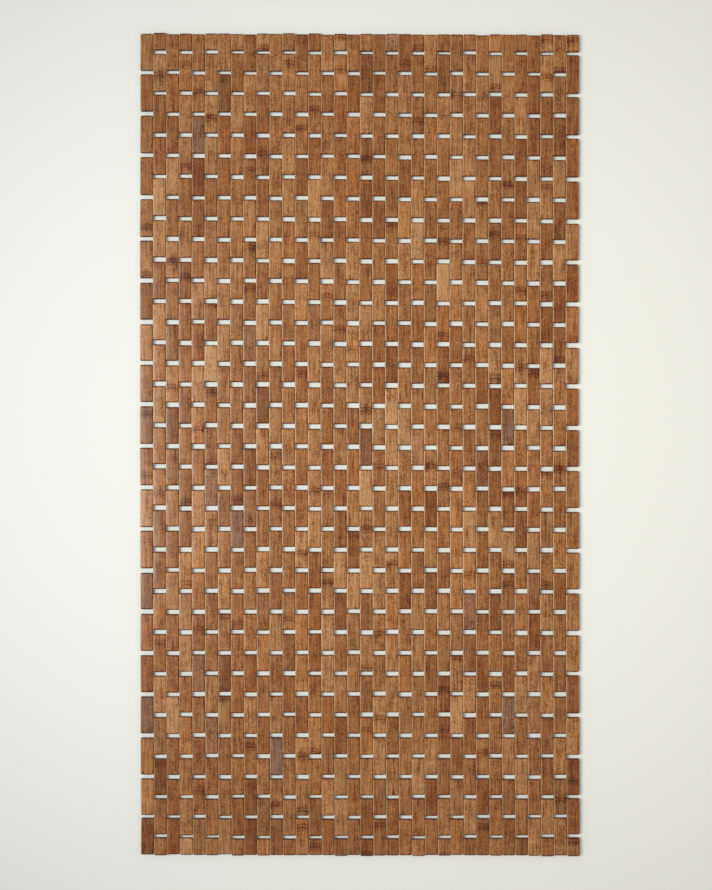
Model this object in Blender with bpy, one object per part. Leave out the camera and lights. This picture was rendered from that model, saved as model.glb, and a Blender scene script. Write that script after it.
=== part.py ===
"""Bamboo bath mat: staggered bamboo blocks threaded on cords, lying flat.

Sizes in the tables are in millimetres; the model is in metres, +Z up. X runs across
the mat, Y along it, and the underside lies at Z = 0. The mat has columns of blocks
set half a block apart like bricks, so a gap between two blocks in one column faces
the middle of the blocks beside it. Every cord passes through one end of the blocks
in each column. A course is the row of blocks that every second cord carries: its
blocks touch side by side along the cord, and it stands clear of the next course.
"""
import bpy
import bmesh
import numpy as np

MM = 0.001

COLUMNS = 34
COLUMN_STEP = 15.0      # from one column to the next
SLOT_ROWS = 39          # rows of gaps; row 0 is the mat's far end, row 40 its near end
COURSES = 20
ROW_STEP = 24.0         # from one row of gaps to the next
END_STEP = 21.5         # from the last row of gaps to the mat's end
THICKNESS = 6.0
GROOVE = 0.8            # width and depth of the eased edge between touching blocks
CLEARANCE = 0.35        # how far a block draws in beside the next course
SHORT_PROUD = 0.3       # the short end blocks stand out, and the long ones in, by this

# Hand-threaded blocks never lie quite even. Each value varies by up to this, seeded.
SLOT_WANDER = 0.5
GAP_WANDER = 0.7
END_WANDER = 0.6
SIDE_WANDER = 0.25
SEED = 34

# How the rows lie from the far end to the near end, in mm. A row is shifted towards the
# near end, its right half tilts that way too, its two ends bow that way, and it sways to
# the right. The gap is the mean opening between the ends of two blocks.
LIE_COLUMNS = ("row", "shift", "tilt", "bow", "gap", "sway")
LIE = (
    (0, 0.0, 0.8, 0.0, 3.2, 0.0),
    (4, 0.1, 1.4, 0.2, 4.2, -0.2),
    (9, 2.2, 2.0, 0.1, 4.6, -0.7),
    (15, 2.7, 1.8, 0.1, 4.9, -0.9),
    (21, 2.7, 1.5, 0.0, 4.9, -0.6),
    (24, 2.0, 0.7, 0.6, 4.8, -0.4),
    (30, 1.9, 0.2, 0.7, 4.7, -0.1),
    (36, 2.1, 0.1, 0.1, 4.3, 0.3),
    (39, 0.5, 0.0, -1.6, 3.1, 0.7),
    (40, 0.0, 0.4, 0.0, 3.1, 0.7),
)

BAMBOO = (0.36, 0.165, 0.072)
SHADE_STEP = 0.06       # the courses differ by this share of the colour


def lie(column):
    """One column of the table, read off for every row."""
    table = np.array(LIE)
    rows = np.arange(SLOT_ROWS + 2)
    return np.interp(rows, table[:, 0], table[:, LIE_COLUMNS.index(column)])


def row_marks():
    """The nominal Y of every row, from the far end to the near end."""
    marks = (SLOT_ROWS + 1) / 2 * ROW_STEP - np.arange(SLOT_ROWS + 2) * ROW_STEP
    marks[0] = marks[1] + END_STEP
    marks[-1] = marks[-2] - END_STEP
    return marks


def row_places(rng):
    """Y of each row's middle, and its gap, for every column: two (rows, columns) arrays."""
    size = (SLOT_ROWS + 2, COLUMNS)
    across = (np.arange(COLUMNS) + 0.5) / COLUMNS * 2 - 1
    fall = lie("shift")[:, None] + np.outer(lie("tilt"), across)
    fall = fall + np.outer(lie("bow"), across**2)
    places = row_marks()[:, None] - fall
    places += rng.uniform(-SLOT_WANDER, SLOT_WANDER, size)
    gaps = lie("gap")[:, None] + rng.uniform(-GAP_WANDER, GAP_WANDER, size)
    ends = rng.uniform(-END_WANDER, END_WANDER, (2, COLUMNS))
    proud = np.where(np.arange(COLUMNS) % 2 == 1, SHORT_PROUD, -SHORT_PROUD)
    marks = row_marks()[:, None] - fall
    places[0] = marks[0] + proud + ends[0]
    places[-1] = marks[-1] - proud + ends[1]
    gaps[[0, -1]] = 0.0
    middle = (places[0].max() + places[-1].min()) / 2
    return places - middle, gaps


def column_rows(column):
    """The rows that cut a column: its two ends and every second row between them."""
    inner = [row for row in range(1, SLOT_ROWS + 1) if (row + column) % 2 == 0]
    return [0] + inner + [SLOT_ROWS + 1]


def column_blocks(column, places, gaps):
    """(column, far end, near end) of each block in a column, from the far end."""
    rows = column_rows(column)
    blocks = []
    for far_row, near_row in zip(rows, rows[1:]):
        far = places[far_row, column] - gaps[far_row, column] / 2
        near = places[near_row, column] + gaps[near_row, column] / 2
        blocks.append((column, far, near))
    return blocks


def seam_lines(rng, places):
    """X and Y, at every row, of the lines between columns; line 0 is the mat's left side."""
    size = (SLOT_ROWS + 2, COLUMNS + 1)
    x = (np.arange(COLUMNS + 1) - COLUMNS / 2) * COLUMN_STEP + lie("sway")[:, None]
    x = x + rng.uniform(-SIDE_WANDER, SIDE_WANDER, size)
    padded = np.pad(places, ((0, 0), (1, 1)), mode="edge")
    y = (padded[:, 1:] + padded[:, :-1]) / 2
    return x - (x.min() + x.max()) / 2, y


def touching(blocks):
    """Where neighbours in a course touch: {boundary: [(far, near), ...]}, far end first."""
    contacts = {}
    for column, far, near in blocks:
        for other, other_far, other_near in blocks:
            top, bottom = min(far, other_far), max(near, other_near)
            if other == column + 1 and top > bottom:
                contacts.setdefault(column + 1, []).append((top, bottom))
    return {boundary: sorted(spans, reverse=True) for boundary, spans in contacts.items()}


class CourseMesh:
    """One course as a closed mesh, with Y measured from the course's own middle."""

    def __init__(self, blocks, middle, lines):
        self.mesh = bmesh.new()
        self.middle = middle
        self.lines = lines
        self.contacts = touching(blocks)
        self.seams = {}
        for block in blocks:
            self.add_block(*block)

    def vertex(self, x, y, z):
        return self.mesh.verts.new((x * MM, (y - self.middle) * MM, z * MM))

    def side_x(self, boundary, y):
        x, rows = self.lines
        return np.interp(-y, -rows[:, boundary], x[:, boundary])

    def seam_point(self, boundary, y):
        """Base, groove, left edge and right edge where two blocks begin to touch."""
        if (boundary, y) not in self.seams:
            x = self.side_x(boundary, y)
            self.seams[boundary, y] = (
                self.vertex(x, y, 0),
                self.vertex(x, y, THICKNESS - GROOVE),
                self.vertex(x - GROOVE, y, THICKNESS),
                self.vertex(x + GROOVE, y, THICKNESS),
            )
        return self.seams[boundary, y]

    def corner(self, boundary, y, inset):
        """A block's free corner: base and top, with no groove between them."""
        x = self.side_x(boundary, y) + inset
        return self.vertex(x, y, 0), None, self.vertex(x, y, THICKNESS)

    def side(self, column, far, near, right):
        """Points down one side of a block, and whether each stretch touches a neighbour."""
        boundary = column + 1 if right else column
        spans = [s for s in self.contacts.get(boundary, []) if far >= s[0] and s[1] >= near]
        outer = boundary in (0, COLUMNS)
        inset = 0 if outer else (-CLEARANCE if right else CLEARANCE)
        points = []
        joined = []
        for top, bottom in spans:
            for y in (top, bottom):
                base, groove, left_edge, right_edge = self.seam_point(boundary, y)
                points.append((y, (base, groove, left_edge if right else right_edge)))
        if not points or points[0][0] < far:
            points.insert(0, (far, self.corner(boundary, far, inset)))
        if points[-1][0] > near:
            points.append((near, self.corner(boundary, near, inset)))
        for (top, _), (bottom, _) in zip(points, points[1:]):
            joined.append((top, bottom) in spans)
        return [corners for _, corners in points], joined

    def face(self, corners, flip):
        corners = [c for i, c in enumerate(corners) if c is not None and c not in corners[:i]]
        self.mesh.faces.new(corners[::-1] if flip else corners)

    def add_walls(self, points, joined, flip):
        """The upright faces and the eased edges down one side of a block."""
        for upper, lower, touches in zip(points, points[1:], joined):
            base_a, groove_a, top_a = upper
            base_b, groove_b, top_b = lower
            shoulder_a, shoulder_b = groove_a or top_a, groove_b or top_b
            if not touches:
                self.face([base_a, base_b, shoulder_b, shoulder_a], flip)
            if groove_a or groove_b:
                self.face([shoulder_a, shoulder_b, top_b, top_a], flip)

    def add_block(self, column, far, near):
        left, left_joined = self.side(column, far, near, False)
        right, right_joined = self.side(column, far, near, True)
        self.add_walls(left, left_joined, False)
        self.add_walls(right, right_joined, True)
        for end, flip in ((0, False), (-1, True)):
            self.face([*left[end], *right[end][::-1]], flip)
        self.face([p[2] for p in left] + [p[2] for p in right[::-1]], False)
        self.face([p[0] for p in left] + [p[0] for p in right[::-1]], True)


def bamboo(name, shade):
    """Satin carbonised bamboo."""
    material = bpy.data.materials.new(name)
    material.use_nodes = True
    shader = material.node_tree.nodes["Principled BSDF"]
    shader.inputs["Base Color"].default_value = (*[c * shade for c in BAMBOO], 1)
    shader.inputs["Roughness"].default_value = 0.42
    shader.inputs["Metallic"].default_value = 0.0
    return material


def add_course(number, blocks, lines, mat):
    """A node for one course, placed at the middle of its blocks."""
    middle = float(np.mean([(far + near) / 2 for _, far, near in blocks]))
    name = f"course_{number:02d}"
    data = bpy.data.meshes.new(name)
    course = CourseMesh(blocks, middle, lines)
    course.mesh.to_mesh(data)
    course.mesh.free()
    shade = 1 + SHADE_STEP * (number % 3 - 1)
    data.materials.append(bamboo(f"bamboo_{number:02d}", shade))
    node = bpy.data.objects.new(name, data)
    node.location = (0, middle * MM, 0)
    node.parent = mat
    bpy.context.collection.objects.link(node)


def main():
    for old in list(bpy.data.objects):
        bpy.data.objects.remove(old)
    mat = bpy.data.objects.new("bath_mat", None)
    bpy.context.collection.objects.link(mat)
    rng = np.random.default_rng(SEED)
    places, gaps = row_places(rng)
    lines = seam_lines(rng, places)
    columns = [column_blocks(column, places, gaps) for column in range(COLUMNS)]
    for number in range(COURSES):
        blocks = [column[number] for column in columns]
        if number == COURSES - 1:
            blocks += [column[-1] for column in columns[1::2]]
        add_course(number + 1, blocks, lines, mat)


main()
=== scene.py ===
"""Bamboo bath mat: carbonised bamboo blocks threaded on elastic cords, lying flat.

Tables and block sizes are in millimetres, everything placed in the scene is in metres.
X runs across the mat, Y along it and along the blocks, and Z = 0 is the floor.
"""

import bpy
import numpy as np
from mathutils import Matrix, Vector


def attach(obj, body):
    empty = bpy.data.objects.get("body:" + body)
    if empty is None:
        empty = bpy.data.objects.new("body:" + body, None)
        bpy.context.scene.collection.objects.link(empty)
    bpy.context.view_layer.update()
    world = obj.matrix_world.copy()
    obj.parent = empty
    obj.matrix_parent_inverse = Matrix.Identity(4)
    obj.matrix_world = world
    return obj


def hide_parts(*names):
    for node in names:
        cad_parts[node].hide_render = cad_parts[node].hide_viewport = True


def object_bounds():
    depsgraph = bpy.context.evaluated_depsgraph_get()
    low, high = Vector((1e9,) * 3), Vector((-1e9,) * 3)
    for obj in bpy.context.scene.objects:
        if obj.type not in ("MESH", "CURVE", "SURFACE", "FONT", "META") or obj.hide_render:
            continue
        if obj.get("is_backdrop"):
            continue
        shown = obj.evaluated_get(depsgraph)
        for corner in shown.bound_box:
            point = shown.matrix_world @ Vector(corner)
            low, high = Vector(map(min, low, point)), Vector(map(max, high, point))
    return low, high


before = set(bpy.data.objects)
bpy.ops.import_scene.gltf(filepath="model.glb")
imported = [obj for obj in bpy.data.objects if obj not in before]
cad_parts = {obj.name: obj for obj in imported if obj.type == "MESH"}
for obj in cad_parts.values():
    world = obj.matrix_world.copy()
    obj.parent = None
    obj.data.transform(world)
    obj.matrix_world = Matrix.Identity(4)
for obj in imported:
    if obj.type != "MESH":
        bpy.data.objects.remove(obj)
CAD_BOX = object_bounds()

MM = 0.001

# ---------------------------------------------------------------- how the mat is threaded

COLUMNS = 34
COLUMN_STEP = 15.0      # from one column of blocks to the next
SLOT_ROWS = 39          # rows of gaps, each with a gap in every second column
COURSES = 20            # a course is one row of full blocks, one to each column
ROW_STEP = 24.0         # from one row of gaps to the next
END_STEP = 21.5         # from the last row of gaps to the end of the mat
SHORT_PROUD = 0.3       # columns that end in short blocks are this much longer at each end
SLOT_WANDER = 0.5       # how far each way a gap lies from its row
GAP_WANDER = 0.7        # how much wider or narrower it is
END_WANDER = 0.6        # how far each way the end of a column lies from the mat's end
SIDE_WANDER = 0.25      # how far each way the line between two columns strays
LAYING_SEED = 34

# How the rows lie from the far end to the near end, in mm. A row is shifted towards the
# near end, its right half tilts that way too, its two ends bow that way, and it sways to
# the right. The gap is the mean opening between the ends of two blocks.
LIE_COLUMNS = ("row", "shift", "tilt", "bow", "gap", "sway")
LIE = (
    (0, 0.0, 0.8, 0.0, 3.2, 0.0),
    (4, 0.1, 1.4, 0.2, 4.2, -0.2),
    (9, 2.2, 2.0, 0.1, 4.6, -0.7),
    (15, 2.7, 1.8, 0.1, 4.9, -0.9),
    (21, 2.7, 1.5, 0.0, 4.9, -0.6),
    (24, 2.0, 0.7, 0.6, 4.8, -0.4),
    (30, 1.9, 0.2, 0.7, 4.7, -0.1),
    (36, 2.1, 0.1, 0.1, 4.3, 0.3),
    (39, 0.5, 0.0, -1.6, 3.1, 0.7),
    (40, 0.0, 0.4, 0.0, 3.1, 0.7),
)


def lie(column):
    """One column of the table, read off for every row."""
    table = np.array(LIE)
    rows = np.arange(SLOT_ROWS + 2)
    return np.interp(rows, table[:, 0], table[:, LIE_COLUMNS.index(column)])


def row_marks():
    """The nominal Y of every row, from the far end to the near end."""
    marks = (SLOT_ROWS + 1) / 2 * ROW_STEP - np.arange(SLOT_ROWS + 2) * ROW_STEP
    marks[0] = marks[1] + END_STEP
    marks[-1] = marks[-2] - END_STEP
    return marks


def row_places(rng):
    """Y of each row's middle, and its gap, for every column: two (rows, columns) arrays."""
    size = (SLOT_ROWS + 2, COLUMNS)
    across = (np.arange(COLUMNS) + 0.5) / COLUMNS * 2 - 1
    fall = lie("shift")[:, None] + np.outer(lie("tilt"), across)
    fall = fall + np.outer(lie("bow"), across**2)
    marks = row_marks()[:, None] - fall
    places = marks + rng.uniform(-SLOT_WANDER, SLOT_WANDER, size)
    gaps = lie("gap")[:, None] + rng.uniform(-GAP_WANDER, GAP_WANDER, size)
    ends = rng.uniform(-END_WANDER, END_WANDER, (2, COLUMNS))
    proud = np.where(np.arange(COLUMNS) % 2 == 1, SHORT_PROUD, -SHORT_PROUD)
    places[0] = marks[0] + proud + ends[0]
    places[-1] = marks[-1] - proud + ends[1]
    gaps[[0, -1]] = 0.0
    middle = (places[0].max() + places[-1].min()) / 2
    return places - middle, gaps


def seam_lines(rng, places):
    """X and Y, at every row, of the lines between columns; line 0 is the mat's left side."""
    size = (SLOT_ROWS + 2, COLUMNS + 1)
    x = (np.arange(COLUMNS + 1) - COLUMNS / 2) * COLUMN_STEP + lie("sway")[:, None]
    x = x + rng.uniform(-SIDE_WANDER, SIDE_WANDER, size)
    padded = np.pad(places, ((0, 0), (1, 1)), mode="edge")
    y = (padded[:, 1:] + padded[:, :-1]) / 2
    return x - (x.min() + x.max()) / 2, y


def column_rows(column):
    """The rows that cut a column: its two ends and every second row between them."""
    inner = [row for row in range(1, SLOT_ROWS + 1) if (row + column) % 2 == 0]
    return [0] + inner + [SLOT_ROWS + 1]


def lay_blocks():
    """A table of blocks: course, column, far and near Y, and the X of their four corners.

    The corners are the far and near one on the left, then the far and near one on the right.
    """
    rng = np.random.default_rng(LAYING_SEED)
    places, gaps = row_places(rng)
    line_x, line_y = seam_lines(rng, places)
    table = []
    for column in range(COLUMNS):
        rows = column_rows(column)
        for number, (far_row, near_row) in enumerate(zip(rows, rows[1:])):
            far = places[far_row, column] - gaps[far_row, column] / 2
            near = places[near_row, column] + gaps[near_row, column] / 2
            corners = []
            for line in (column, column + 1):
                corners += list(np.interp([-far, -near], -line_y[:, line], line_x[:, line]))
            table.append((min(number, COURSES - 1), column, far, near, *corners))
    return np.array(table)


# ------------------------------------------------------------------ the shape of one block

SIDE_GAP = 0.02         # each block stands this far inside the line between two columns
PLAN_ROUND = 1.4        # how far its corners draw in, seen from above
TOP_ROUND = 1.1         # radius along its top edges
END_LENGTH = 1.9        # its top falls over this length to each end
END_DROP = 1.0          # and by this much
UNDER_ROUND = 0.7       # radius along its lower edges, and how far it rises at the ends
CROWN = 0.12            # its top is this much higher along the middle
HEIGHT = (5.72, 5.84)   # lowest and highest block, before the play of the cord tips it
PLAY = (0.35, 0.12, 0.12)    # that play in degrees, each way: roll, pitch and yaw

# Round the section: side (-1 left, 0 middle, 1 right), how far round its edge the point is
# (0 upright wall, 90 top, -90 underside, in degrees), and whether that is a top edge.
SECTION = np.array([
    (-1, -90, 0), (-1, 0, 0), (-1, 0, 1), (-1, 45, 1), (-1, 90, 1),
    (0, 90, 1),
    (1, 90, 1), (1, 45, 1), (1, 0, 1), (1, 0, 0), (1, -90, 0),
])
# Along the block: which end, and how far round its rounding from the end face (degrees).
STATIONS = np.array([(-1, 0), (-1, 45), (-1, 90), (1, 90), (1, 45), (1, 0)])
END_TIGHTEN = 0.35      # the share of its rounding that an edge keeps at the end face


def block_surface(blocks, rng):
    """Rounded blocks as one array of points (block, station, section) and their normals.

    Each block is a section, an upright oblong with quarter-round corners and a slightly
    crowned top, carried along Y. Round each end, as a goes from 0 to 90 degrees, its
    place is L(1 - cos a) from the end face, and it draws in by R(1 - sin a), where L is
    the length of the rounding and R its depth at the sides, the top or the underside.
    """
    count = len(blocks)
    far, near = blocks[:, 2], blocks[:, 3]
    left = (blocks[:, 4:6] + SIDE_GAP)[:, ::-1]
    right = (blocks[:, 6:8] - SIDE_GAP)[:, ::-1]
    side, slope, is_top = SECTION[:, 0], np.radians(SECTION[:, 1]), SECTION[:, 2] == 1
    end, turn = STATIONS[:, 0], np.radians(STATIONS[:, 1])
    tall = rng.uniform(*HEIGHT, count)

    half_length = (far - near) / 2
    along = end * (half_length[:, None] - END_LENGTH * (1 - np.cos(turn)))
    share = (along / half_length[:, None] + 1) / 2
    middle = (left + right) / 2
    half = (right - left) / 2
    middle = middle[:, :1] + (middle[:, 1:] - middle[:, :1]) * share
    half = half[:, :1] + (half[:, 1:] - half[:, :1]) * share
    half = half - PLAN_ROUND * (1 - np.sin(turn))

    keep = (END_TIGHTEN + (1 - END_TIGHTEN) * np.sin(turn))[:, None]
    radius = np.where(is_top, TOP_ROUND, UNDER_ROUND) * keep
    across = side * (half[:, :, None] - radius * (1 - np.cos(slope)))
    top = tall[:, None] - CROWN - END_DROP * (1 - np.sin(turn))
    top = top[:, :, None] - radius * (1 - np.sin(slope)) + CROWN * (side == 0) * keep
    under = (UNDER_ROUND * (1 - np.sin(turn)))[:, None] + radius * (1 + np.sin(slope))
    up = np.where(is_top, top, under)

    points = np.stack(np.broadcast_arrays(across, along[:, :, None], up), -1)
    crown_lean = 2 * CROWN / (COLUMN_STEP / 2) * side * (is_top & (SECTION[:, 1] == 90))
    facing = np.stack([side * np.cos(slope) + crown_lean, 0 * slope, np.sin(slope)], -1)
    normals = END_LENGTH * np.sin(turn)[:, None, None] * facing + 0 * points
    normals[..., 1] += (END_DROP * end * np.cos(turn))[:, None]
    normals /= np.linalg.norm(normals, axis=-1, keepdims=True)

    play = np.radians(rng.uniform(-1, 1, (3, count)) * np.array(PLAY)[:, None])
    local = points.copy()
    points = tip(points, play)
    normals = tip(normals, play)
    points[..., 2] -= points[..., 2].min(axis=(1, 2))[:, None, None]
    points[..., 0] += middle[:, :, None]
    points[..., 1] += ((far + near) / 2)[:, None, None]
    return points, normals, local


def tip(vectors, play):
    """Turns each block's vectors by its small roll, pitch and yaw: v + angle x v."""
    roll, pitch, yaw = play[:, :, None, None]
    x, y, z = np.moveaxis(vectors, -1, 0)
    turned = (x + roll * z - yaw * y, y - pitch * z + yaw * x, z + pitch * y - roll * x)
    return np.stack(turned, -1)


def block_faces(count):
    """Faces of `count` blocks: quads between stations and one face on each end."""
    stations, ring = len(STATIONS), len(SECTION)
    j, i = np.meshgrid(np.arange(stations - 1), np.arange(ring), indexing="ij")
    after = (i + 1) % ring
    here, beyond = j * ring, (j + 1) * ring
    quads = np.stack([here + i, here + after, beyond + after, beyond + i], -1).reshape(-1, 4)
    starts = np.arange(count)[:, None, None] * stations * ring
    ends = np.stack([ring - 1 - np.arange(ring), (stations - 1) * ring + np.arange(ring)])
    return (quads + starts).reshape(-1, 4), (ends + starts).reshape(-1, ring)


# ------------------------------------------------------------------ the look of one block

LOOKS_SEED = 7
GRAIN_REACH = 4000.0    # mm of wood, in X, Y and Z, that a block's grain may come from
MEAN_TONE = 0.985       # tone is what the wood gives back, as a share of the usual
TONE_SPREAD = 0.19      # how much lighter or darker single blocks are
TONE_SKEW = 0.02        # pale blocks stray further than dark ones
TONE_LIMITS = (0.42, 1.7)
TONE_DRIFT = ((-480, 0, 480), (0.88, 1.0, 0.96))    # blocks darker towards the two ends of the mat, by Y in mm
WARMTH_SPREAD = 0.95    # how much redder or yellower single blocks are
DARK_WARMTH = 0.2       # dark blocks are redder too
WARMTH_LIMIT = 1.8
GREY_SHARE = 0.035      # the share of blocks, picked at random, that are greyer
GREYNESS = (0.3, 1.0)   # how far those have greyed
NODE_SHARE = 0.15       # the share of blocks that hold a joint of the bamboo stem
JOINT_REACH = 0.9       # how far from the middle it may lie, as a share of half the block
JOINT_ARCH = 0.03       # 1/mm: its marks bow by this times the square of the mm across
NO_NODE = 200.0         # a distance in mm that stands for no joint near
# By side and slope of the top edge: a painted highlight on the left edge, where the light from
# the left catches it, and painted shade on the sides.
PAINTED_HIGHLIGHT = {(-1, 45): 1.0, (-1, 0): 0.3}
PAINTED_SIDE_SHADE = {(1, 45): 0.1, (1, 0): 0.6, (-1, 0): 0.45}
END_GRAIN_AND_SHADE = {0: 1.0, 45: 0.6, 90: 0.0}    # darker round the ends: partly real end grain, partly painted shade on the end faces


def block_looks(blocks, local, rng):
    """Values that the bamboo material reads, by name, for every point of every block.

    fibre: the point's place in its block in mm, moved to a place in the grain of its own.
    cut: the block's tone, warmth and greyness. node: mm along the block from its joint,
    plus JOINT_ARCH times the square of the mm from the block's middle line.
    worn: 1 where a painted highlight lightens the left top edge, which the light from the left
    catches, and it is less glossy there. sawn: 1 on the darker ends, partly real end grain
    and partly painted shade, and up to 1 for painted shade on the sides.
    """
    count = len(blocks)
    fibre = local + rng.uniform(0, GRAIN_REACH, (count, 1, 1, 3))
    spread = rng.standard_normal(count)
    tone = MEAN_TONE + TONE_SPREAD * spread + TONE_SKEW * (spread**2 - 1)
    tone = np.clip(tone, *TONE_LIMITS)
    tone = tone * np.interp(blocks[:, 2:4].mean(axis=1), *TONE_DRIFT)
    warmth = WARMTH_SPREAD * rng.standard_normal(count) - DARK_WARMTH * spread
    warmth = np.clip(warmth, -WARMTH_LIMIT, WARMTH_LIMIT)
    grey = np.where(rng.random(count) < GREY_SHARE, rng.uniform(*GREYNESS, count), 0.0)
    cut = np.stack([tone, warmth, grey], -1)[:, None, None, :] + 0 * local
    half_length = (blocks[:, 2] - blocks[:, 3]) / 2
    joint = rng.uniform(-JOINT_REACH, JOINT_REACH, count) * half_length
    joint = np.where(rng.random(count) < NODE_SHARE, joint, -NO_NODE)
    node = local[..., 1] - joint[:, None, None] + JOINT_ARCH * local[..., 0] ** 2
    section = [(side, slope) for side, slope, _ in SECTION.tolist()]
    at_top = SECTION[:, 2] == 1
    # Painted highlight along the left top edge, where the light from the left catches it.
    edge_highlight = at_top * np.array([PAINTED_HIGHLIGHT.get(place, 0.0) for place in section])
    # Painted shade on the sides of the blocks, chiefly the right sides, away from the light.
    side_shade = at_top * np.array([PAINTED_SIDE_SHADE.get(place, 0.0) for place in section])
    # Darker ends: partly real end grain, partly painted shade on the end faces.
    ends = np.array([END_GRAIN_AND_SHADE[turn] for turn in STATIONS[:, 1].tolist()])[:, None]
    edge_highlight = edge_highlight * (1 - ends) + 0 * local[..., 0]
    grain_and_shade = np.maximum(ends, side_shade) + 0 * local[..., 0]
    return {"fibre": fibre, "cut": cut, "node": node, "edge_highlight": edge_highlight, "grain_and_shade": grain_and_shade}


# --------------------------------------------------------------------------- materials

def hex_colour(text):
    """An sRGB hex value as linear RGBA."""
    srgb = np.array([int(text[i:i + 2], 16) for i in (0, 2, 4)]) / 255
    linear = np.where(srgb <= 0.04045, srgb / 12.92, ((srgb + 0.055) / 1.055) ** 2.4)
    return (*linear, 1.0)


def add(tree, kind, inputs=None, output=0, **settings):
    """Adds a node, sets or links its inputs, and gives back one of its outputs."""
    node = tree.nodes.new(kind)
    for name, value in settings.items():
        setattr(node, name, value)
    for name, value in (inputs or {}).items():
        if isinstance(value, bpy.types.NodeSocket):
            tree.links.new(value, node.inputs[name])
        else:
            node.inputs[name].default_value = value
    return node.outputs[output]


# Where a colour Mix node has its factor, its two colours and its result.
FACTOR, UNDER, OVER, MIXED = 0, 6, 7, 2


def new_material(name):
    """A material, its node tree and its shader."""
    material = bpy.data.materials.new(name)
    material.use_nodes = True
    return material, material.node_tree, material.node_tree.nodes["Principled BSDF"]


# Tones of steamed (carbonised) bamboo. A tone of 0.5 is the usual one, and the light that
# the wood gives back grows evenly with the tone.
BAMBOO_TONES = (
    (0.05, "441d03"),
    (0.18, "64340c"),
    (0.33, "7d4f26"),
    (0.50, "93653b"),
    (0.68, "a5764a"),
    (0.90, "b4895e"),
)
REDDISH = "ffe2bc"      # what the warmest cuts are tinted with
GREY_CAST = "c8ceff"    # what those greyer blocks are multiplied by
HIGHLIGHT_COLOUR = "c79c64"       # a painted highlight along the left top edges that the light from the left catches
NOISES = {
    # name: (cells per mm across, cells per mm along, detail)
    "figure": (0.10, 0.05, 2.0),
    "bands": (0.045, 0.14, 2.0),
    "streaks": (0.80, 0.028, 2.0),
    "fibres": (1.7, 0.08, 2.0),
    "mottle": (0.45, 0.34, 2.0),
    "specks": (0.9, 0.80, 1.0),
    "vessels": (1.3, 0.12, 1.0),
    "hue": (0.5, 0.45, 1.0),
    "ragged": (0.45, 0.10, 3.0),
}
SHARES = {"figure": 0.50, "bands": 0.33, "streaks": 0.92, "fibres": 0.68, "mottle": 0.58,
          "specks": 0.68}
VESSELS = (0.60, 0.72)  # the noise at which a vessel begins to show, and shows in full
VESSEL_TONE = -0.05     # what it adds to the tone
GRAIN_AND_SHADE_TONE = -0.55       # what the darker end grain and the painted shade on ends and sides add to it
RAGGED = 3.6            # mm by which the marks of a joint wander
# Marks across a joint of the stem: mm from it, half widths in mm where the mark ends and
# where it is full, and how much it darkens. The last one is a broad mottled band.
JOINT_MARKS = (
    (0.0, 1.1, 0.3, 0.20),
    (3.9, 1.0, 0.2, 0.15),
    (-3.4, 1.0, 0.2, 0.08),
    (1.0, 7.5, 1.0, 0.15),
)
MEAN_TINT = 0.53        # how much of REDDISH the wood takes on the whole
HUE_TINT = 2.0          # and how that changes by the noise within a block,
WARMTH_TINT = 0.23      # by the warmth of the block,
JOINT_TINT = 0.9        # and by the darkening of a joint's broad band
HIGHLIGHT_SHARE = 0.75     # how much of HIGHLIGHT_COLOUR is painted on as a highlight along the left top edges
ROUGHNESS = (0.20, 0.42)    # of the lacquered faces, and of the left top edges with the most painted highlight
LACQUER_IOR = 1.42
STREAK_RELIEF = 0.4     # how high streaks stand, as a share of the fibres' height
RELIEF_HEIGHT = 0.12    # mm
RELIEF_STRENGTH = 0.22


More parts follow.
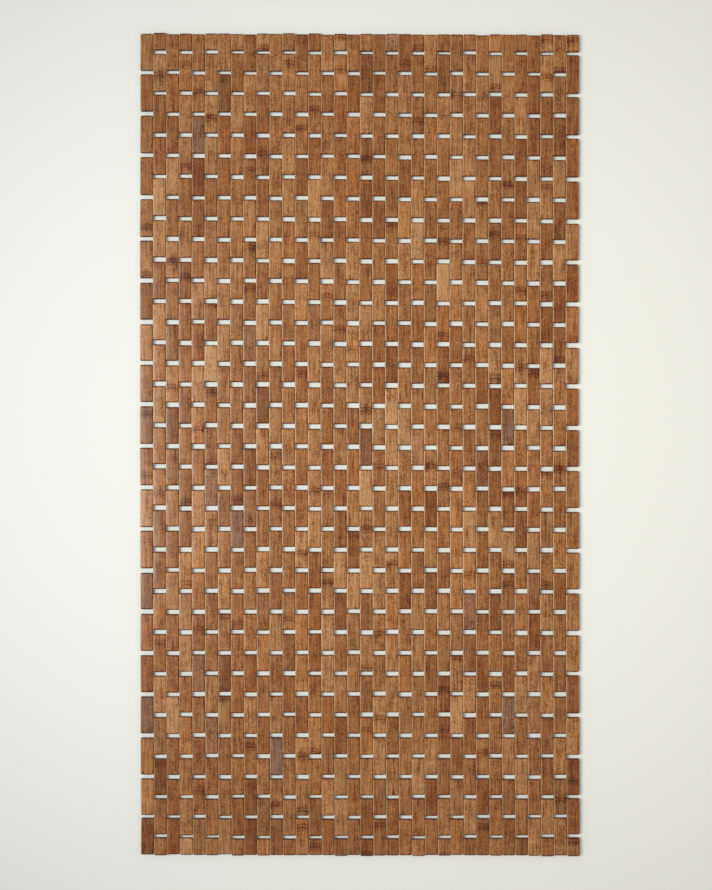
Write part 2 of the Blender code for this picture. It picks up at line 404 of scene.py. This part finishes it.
def bamboo():
    """Carbonised bamboo, planed and sealed with a thin satin lacquer.

    Split stem wood shows fine straight fibres along the block, broader streaks, and a
    darker band where a joint of the stem was planed through. The lacquer gives a broad
    soft sheen. A painted highlight lightens the left top edges, where the light from the
    left catches them, and they are less glossy.
    """
    material, tree, shader = new_material("carbonised_bamboo")
    fibre, cut = (add(tree, "ShaderNodeAttribute", output="Vector", attribute_name=name)
                  for name in ("fibre", "cut"))
    node, edge_highlight, grain_and_shade = (add(tree, "ShaderNodeAttribute", output="Fac", attribute_name=name)
                        for name in ("node", "edge_highlight", "grain_and_shade"))
    block_tone, warmth, greyness = (add(tree, "ShaderNodeSeparateXYZ", {0: cut}, axis)
                                    for axis in "XYZ")
    noise = {}
    for name, (across, along, detail) in NOISES.items():
        place = add(tree, "ShaderNodeVectorMath", {0: fibre, 1: (across, along, across)},
                    operation="MULTIPLY")
        noise[name] = add(tree, "ShaderNodeTexNoise",
                          {"Vector": place, "Scale": 1.0, "Detail": detail}, "Fac")

    # A noise has a mean of 0.5, so what starts the sum keeps the mean tone at 0.5. Short
    # dark dashes are vessels cut lengthwise.
    tone = 0.5 - sum(SHARES.values()) / 2
    for name, share in SHARES.items():
        tone = add(tree, "ShaderNodeMath", {0: noise[name], 1: share, 2: tone},
                   operation="MULTIPLY_ADD")
    dashes = add(tree, "ShaderNodeMapRange",
                 {"Value": noise["vessels"], "From Min": VESSELS[0], "From Max": VESSELS[1]},
                 interpolation_type="SMOOTHSTEP")
    tone = add(tree, "ShaderNodeMath", {0: dashes, 1: VESSEL_TONE, 2: tone},
               operation="MULTIPLY_ADD")
    # Darker end grain, with painted shade on the ends and the sides.
    tone = add(tree, "ShaderNodeMath", {0: grain_and_shade, 1: GRAIN_AND_SHADE_TONE, 2: tone},
               operation="MULTIPLY_ADD")

    # A joint of the stem: bowed ragged lines in a darker band, all broken up by the mottle.
    ragged = add(tree, "ShaderNodeMath", {0: noise["ragged"], 1: RAGGED, 2: node},
                 operation="MULTIPLY_ADD")
    for middle, wide, full, share in JOINT_MARKS:
        away = add(tree, "ShaderNodeMath", {0: ragged, 1: RAGGED / 2 + middle},
                   operation="SUBTRACT")
        away = add(tree, "ShaderNodeMath", {0: away}, operation="ABSOLUTE")
        mark = add(tree, "ShaderNodeMapRange",
                   {"Value": away, "From Min": wide, "From Max": full, "To Max": -2 * share},
                   interpolation_type="SMOOTHSTEP")
        tone = add(tree, "ShaderNodeMath", {0: mark, 1: noise["mottle"], 2: tone},
                   operation="MULTIPLY_ADD")
    tone = add(tree, "ShaderNodeMath", {0: tone, 1: block_tone}, operation="MULTIPLY")
    ramp = tree.nodes.new("ShaderNodeValToRGB")
    tree.links.new(tone, ramp.inputs["Fac"])
    stops = ramp.color_ramp.elements
    while len(stops) < len(BAMBOO_TONES):
        stops.new(0.5)
    for stop, (place, colour) in zip(stops, BAMBOO_TONES):
        stop.position = place
        stop.color = hex_colour(colour)

    # Warmth differs from block to block, and a little within each, and a joint's broad
    # band, which is the last mark, is warmer.
    tint = add(tree, "ShaderNodeMath",
               {0: noise["hue"], 1: HUE_TINT, 2: MEAN_TINT - HUE_TINT / 2},
               operation="MULTIPLY_ADD")
    tint = add(tree, "ShaderNodeMath", {0: warmth, 1: WARMTH_TINT, 2: tint},
               operation="MULTIPLY_ADD")
    tint = add(tree, "ShaderNodeMath", {0: mark, 1: -JOINT_TINT, 2: tint},
               operation="MULTIPLY_ADD")
    colour = add(tree, "ShaderNodeMix",
                 {FACTOR: tint, UNDER: ramp.outputs["Color"], OVER: hex_colour(REDDISH)},
                 MIXED, data_type="RGBA", blend_type="MULTIPLY")
    colour = add(tree, "ShaderNodeMix",
                 {FACTOR: greyness, UNDER: colour, OVER: hex_colour(GREY_CAST)},
                 MIXED, data_type="RGBA", blend_type="MULTIPLY")

    # A painted highlight: a lighter colour along the left top edges, where the light from the
    # left catches them. These edges are also made less glossy.
    pale = add(tree, "ShaderNodeMath", {0: edge_highlight, 1: HIGHLIGHT_SHARE}, operation="MULTIPLY")
    colour = add(tree, "ShaderNodeMix",
                 {FACTOR: pale, UNDER: colour, OVER: hex_colour(HIGHLIGHT_COLOUR)},
                 MIXED, data_type="RGBA")
    tree.links.new(colour, shader.inputs["Base Color"])
    gloss = add(tree, "ShaderNodeMapRange",
                {"Value": edge_highlight, "To Min": ROUGHNESS[0], "To Max": ROUGHNESS[1]})
    tree.links.new(gloss, shader.inputs["Roughness"])
    shader.inputs["IOR"].default_value = LACQUER_IOR

    relief = add(tree, "ShaderNodeMath",
                 {0: noise["streaks"], 1: STREAK_RELIEF, 2: noise["fibres"]},
                 operation="MULTIPLY_ADD")
    bump = add(tree, "ShaderNodeBump",
               {"Height": relief, "Strength": RELIEF_STRENGTH, "Distance": RELIEF_HEIGHT * MM})
    tree.links.new(bump, shader.inputs["Normal"])
    return material


FLOOR_LIGHT_TINT = ("d4d4ce", "d7d4ca")    # floor colour at the left and at the right; the cooler left is a painted tint for cooler light
LIGHT_TINT_REACH = 0.33      # metres from the middle, each way, over which it changes
# Painted glow: the floor's own warm emission, colour and strength, which lifts the shadows.
GLOW = ("fff3e0", 0.10)
TABLE_ROUGHNESS = 0.9


def floor_acrylic():
    """White opal acrylic, matt, with a painted glow; no lamp lies under it.

    Its even warm glow lifts the shadow beside the mat and in the gaps between the blocks,
    and the sheet is a little creamier on the right than on the left, a painted tint for
    light that is cooler on the left.
    """
    material, tree, shader = new_material("opal_acrylic")
    place = add(tree, "ShaderNodeTexCoord", output="Object")
    right = add(tree, "ShaderNodeSeparateXYZ", {0: place})
    right = add(tree, "ShaderNodeMapRange",
                {"Value": right, "From Min": -LIGHT_TINT_REACH, "From Max": LIGHT_TINT_REACH})
    # A painted tint: the floor cooler on the left, where the light is cooler, creamier on the
    # right.
    light_tint = add(tree, "ShaderNodeMix",
                {FACTOR: right, UNDER: hex_colour(FLOOR_LIGHT_TINT[0]), OVER: hex_colour(FLOOR_LIGHT_TINT[1])},
                MIXED, data_type="RGBA")
    tree.links.new(light_tint, shader.inputs["Base Color"])
    # The painted glow.
    shader.inputs["Emission Color"].default_value = hex_colour(GLOW[0])
    shader.inputs["Emission Strength"].default_value = GLOW[1]
    shader.inputs["Roughness"].default_value = TABLE_ROUGHNESS
    return material


# ------------------------------------------------------------------------------- pieces

def add_attribute(mesh, name, values):
    """Stores a number for each point of the blocks, or a vector where values has X, Y, Z."""
    kind, key = ("FLOAT_VECTOR", "vector") if values.ndim == 4 else ("FLOAT", "value")
    layer = mesh.attributes.new(name, kind, "POINT")
    layer.data.foreach_set(key, np.ascontiguousarray(values, dtype=np.float32).ravel())


CELL = (42.0, 57.0)     # mm of flat map for one block
SKIN_PLACE = 1.0        # mm from the cell's left and lower side to the block's skin
END_PLACES = ((8.0, 47.0), (26.0, 47.0))    # where the feet of its two ends lie in the cell


def bake_map(local):
    """A flat map of the blocks, as U and V of every face corner.

    A block's skin is cut along one edge of its underside and unrolled: U is the distance
    round the section and V the distance along the block, in mm. Its two ends lie above
    that as they are. The blocks fill a square of equal cells, and mm become shares of it.
    """
    count, stations, ring = local.shape[:3]
    section = local[:, 2][..., [0, 2]]
    steps = np.linalg.norm(np.roll(section, -1, axis=1) - section, axis=-1)
    u = np.concatenate([np.zeros((count, 1)), np.cumsum(steps, axis=1)], axis=1)
    crown = local[:, :, SECTION.tolist().index([0, 90, 1])][..., [1, 2]]
    steps = np.linalg.norm(np.diff(crown, axis=1), axis=-1)
    v = np.concatenate([np.zeros((count, 1)), np.cumsum(steps, axis=1)], axis=1)
    j, i = np.meshgrid(np.arange(stations - 1), np.arange(ring), indexing="ij")
    around = np.stack([i, i + 1, i + 1, i], -1)
    along = np.stack([j, j, j + 1, j + 1], -1)
    skin = np.stack([u[:, around], v[:, along]], -1)
    ends = np.stack([local[:, 0, ::-1], local[:, -1]], 1)[..., [0, 2]]
    ends = ends + np.array(END_PLACES)[:, None, :]

    columns = int(np.ceil(np.sqrt(count * CELL[1] / CELL[0])))
    cell = np.stack([np.arange(count) % columns, np.arange(count) // columns], -1) * CELL
    size = max(columns * CELL[0], np.ceil(count / columns) * CELL[1])
    skin = (skin + cell[:, None, None, None] + SKIN_PLACE) / size
    ends = (ends + cell[:, None, None]) / size
    return np.concatenate([skin.reshape(-1, 2), ends.reshape(-1, 2)])


def course_piece(number, rows, points, normals, local, looks, material):
    """One course of the mat: its blocks in one mesh, in place of the CAD's course."""
    name = f"bamboo_course_{number:02d}"
    mesh = bpy.data.meshes.new(name)
    place = (points[rows] * MM).reshape(-1, 3)
    quads, ends = block_faces(len(points[rows]))
    mesh.from_pydata(place.tolist(), [], quads.tolist() + ends.tolist())
    for key, values in looks.items():
        add_attribute(mesh, key, values[rows])
    mesh.uv_layers.new(name="OFBake").uv.foreach_set("vector", bake_map(local[rows]).ravel())
    mesh.polygons.foreach_set("use_smooth", np.ones(len(mesh.polygons), dtype=bool))
    mesh.normals_split_custom_set_from_vertices(normals[rows].reshape(-1, 3))
    mesh.materials.append(material)
    piece = bpy.data.objects.new(name, mesh)
    bpy.context.collection.objects.link(piece)
    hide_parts(f"course_{number:02d}")
    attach(piece, "root")


def build_mat():
    """All the courses, from the far end to the near end."""
    blocks = lay_blocks()
    rng = np.random.default_rng(LOOKS_SEED)
    points, normals, local = block_surface(blocks, rng)
    looks = block_looks(blocks, local, rng)
    material = bamboo()
    for number in range(1, COURSES + 1):
        rows = blocks[:, 0] == number - 1
        course_piece(number, rows, points, normals, local, looks, material)


# ------------------------------------------------------------------- floor, light, camera

FLOOR_SIZE = 20.0       # so wide that its edge lies far off from every side


def build_floor():
    """A plain square floor, level with the mat's underside."""
    half = FLOOR_SIZE / 2
    mesh = bpy.data.meshes.new("studio_floor")
    corners = [(-half, -half, 0), (half, -half, 0), (half, half, 0), (-half, half, 0)]
    mesh.from_pydata(corners, [], [(0, 1, 2, 3)])
    mesh.materials.append(floor_acrylic())
    floor = bpy.data.objects.new("studio_floor", mesh)
    bpy.context.collection.objects.link(floor)
    floor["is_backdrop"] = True


def aim(thing, target):
    """Turns a thing where it stands, so that its -Z looks at the target."""
    direction = Vector(target) - thing.location
    thing.rotation_euler = direction.to_track_quat("-Z", "Y").to_euler()


BOX_SIZE = (0.92, 1.00)
BOX_COLOUR = "fcfffc"
DISTANCE = 3.15         # of the soft boxes from the middle of the mat
SPREAD = 44.0           # degrees, so that the light falls off towards the mat's ends
BOX_TARGET = (0.11, 0.04, 0.0)
# Each box leans this many degrees to the left from straight above the mat, and its watts.
SOFTBOXES = {"upper_softbox": (23.5, 3.65), "lower_softbox": (38.4, 3.26)}
ROOM = ("f3f7ff", 0.48)


def softbox(name, lean, watts):
    """One soft box, at its place on an arc over the mat."""
    lamp = bpy.data.lights.new(name, "AREA")
    lamp.shape = "RECTANGLE"
    lamp.size, lamp.size_y = BOX_SIZE
    lamp.spread = np.radians(SPREAD)
    lamp.energy = watts
    lamp.color = hex_colour(BOX_COLOUR)[:3]
    light = bpy.data.objects.new(name, lamp)
    lean = np.radians(lean)
    light.location = (-DISTANCE * np.sin(lean), 0, DISTANCE * np.cos(lean))
    bpy.context.collection.objects.link(light)
    aim(light, BOX_TARGET)


def build_lights():
    """Two soft boxes, one above the other on the left, and a pale, slightly cool room."""
    for name, (lean, watts) in SOFTBOXES.items():
        softbox(name, lean, watts)
    world = bpy.data.worlds.new("studio")
    world.use_nodes = True
    background = world.node_tree.nodes["Background"]
    background.inputs["Color"].default_value = hex_colour(ROOM[0])
    background.inputs["Strength"].default_value = ROOM[1]
    bpy.context.scene.world = world


CAMERA_HEIGHT = 2.30
SENSOR_HEIGHT = 24.0    # mm
VIEW_LENGTH = 1.0371    # of floor from the bottom of the view to its top
VIEW_MIDDLE = (-0.0043, -0.0005)


def build_camera():
    """A camera that looks straight down on the mat."""
    data = bpy.data.cameras.new("camera")
    data.sensor_fit = "VERTICAL"
    data.sensor_height = SENSOR_HEIGHT
    data.lens = SENSOR_HEIGHT * CAMERA_HEIGHT / VIEW_LENGTH
    camera = bpy.data.objects.new("camera", data)
    camera.location = (*VIEW_MIDDLE, CAMERA_HEIGHT)
    bpy.context.collection.objects.link(camera)
    bpy.context.scene.camera = camera


build_mat()
build_floor()
build_lights()
build_camera()
bpy.context.scene.view_settings.view_transform = "Standard"

sizes = {"cad": CAD_BOX, "visual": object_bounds()}
sizes = {name: [list(corner) for corner in box] for name, box in sizes.items()}
